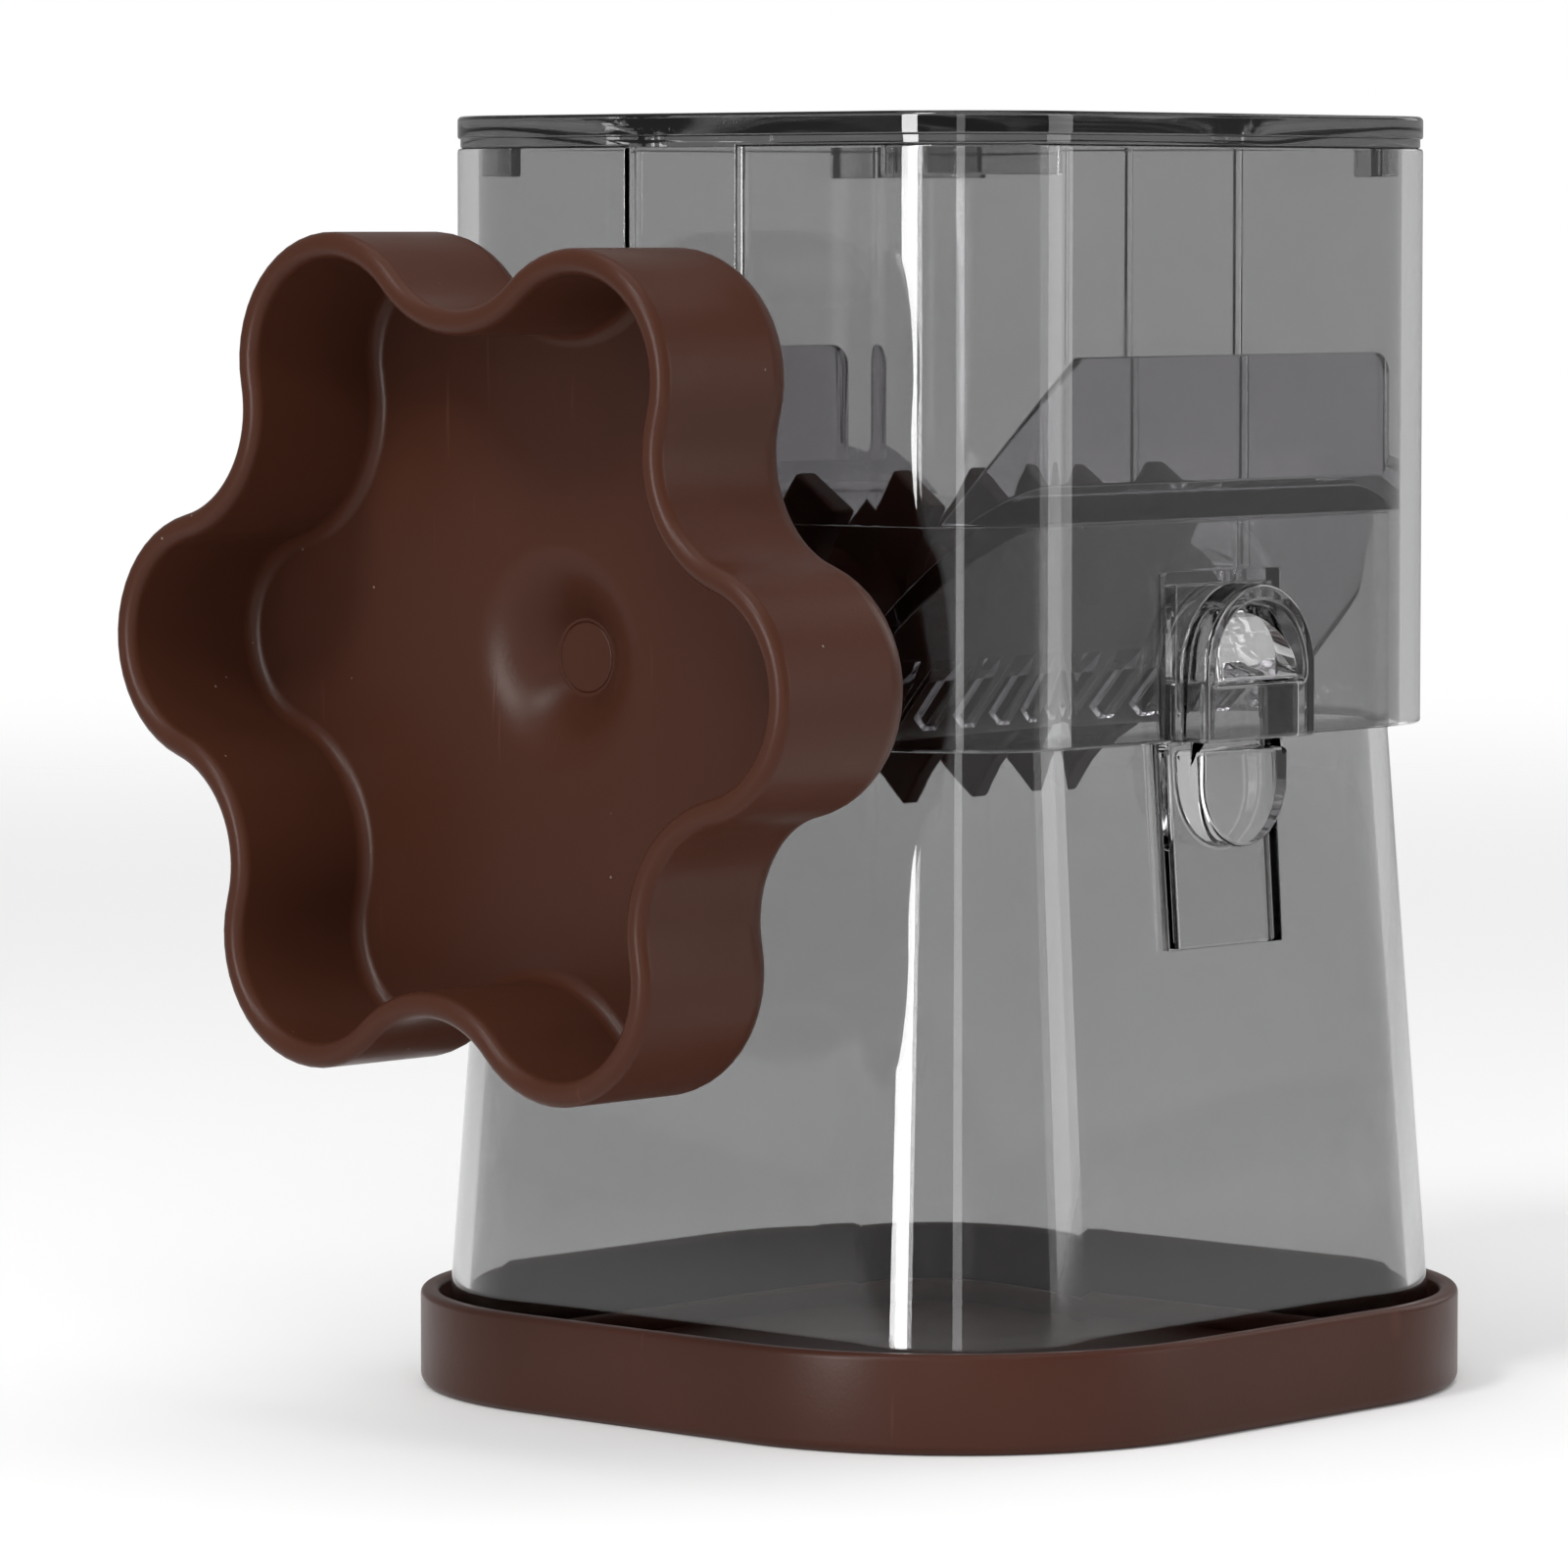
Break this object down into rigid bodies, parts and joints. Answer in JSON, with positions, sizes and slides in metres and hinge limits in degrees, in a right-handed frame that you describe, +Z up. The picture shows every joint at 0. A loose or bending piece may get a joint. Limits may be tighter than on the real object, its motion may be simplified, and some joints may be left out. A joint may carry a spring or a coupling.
{
  "type": "nut grinder",
  "caption": "Hand cranked nut grinder: a lobed knob turns a toothed rotor between two combed chutes in a clear hopper, over a clear catching container in a tray.",
  "frame": {"origin": "centre of the tray's underside", "axes": "+Z up, -Y towards the knob along the shaft, latches on +X and -X"},
  "size_m": [0.098, 0.1255, 0.135],
  "materials": {
    "clear_plastic": "clear smoke tinted moulded plastic, polished",
    "lid_plastic": "clear smoke tinted moulded plastic, polished",
    "tray_brown": "dark brown moulded plastic, satin",
    "knob_brown": "dark brown moulded plastic, satin",
    "rotor_brown": "dark brown moulded plastic, satin"
  },
  "bodies": {
    "base": {"base_tray": "tray_brown"},
    "housing": {"container": "clear_plastic", "hopper": "clear_plastic", "chute_right": "clear_plastic", "chute_left": "clear_plastic", "front_bush": "clear_plastic", "rear_bush": "clear_plastic"},
    "latch_right": {"latch_arm_right": "clear_plastic"},
    "latch_left": {"latch_arm_left": "clear_plastic"},
    "drive": {"rotor": "rotor_brown", "shaft": "rotor_brown", "knob": "knob_brown"},
    "lid": {"lid": "lid_plastic"}
  },
  "joints": [
    {"name": "housing_lift", "type": "slide", "parent": "base", "child": "housing", "axis": [0, 0, 1], "range_m": [0, 0.03]},
    {"name": "lid_lift", "type": "slide", "parent": "housing", "child": "lid", "axis": [0, 0, 1], "range_m": [0, 0.05]},
    {"name": "crank", "type": "hinge", "parent": "housing", "child": "drive", "pos_m": [0, 0, 0.0797], "axis": [0, -1, 0], "continuous": true},
    {"name": "latch_right_bend", "type": "hinge", "parent": "housing", "child": "latch_right", "pos_m": [0.0385, 0, 0.049], "axis": [0, 1, 0], "range_deg": [-4, 0], "stiffness_Nm_per_rad": 4},
    {"name": "latch_left_bend", "type": "hinge", "parent": "housing", "child": "latch_left", "pos_m": [-0.0385, 0, 0.049], "axis": [0, 1, 0], "range_deg": [0, 4], "stiffness_Nm_per_rad": 4}
  ]
}
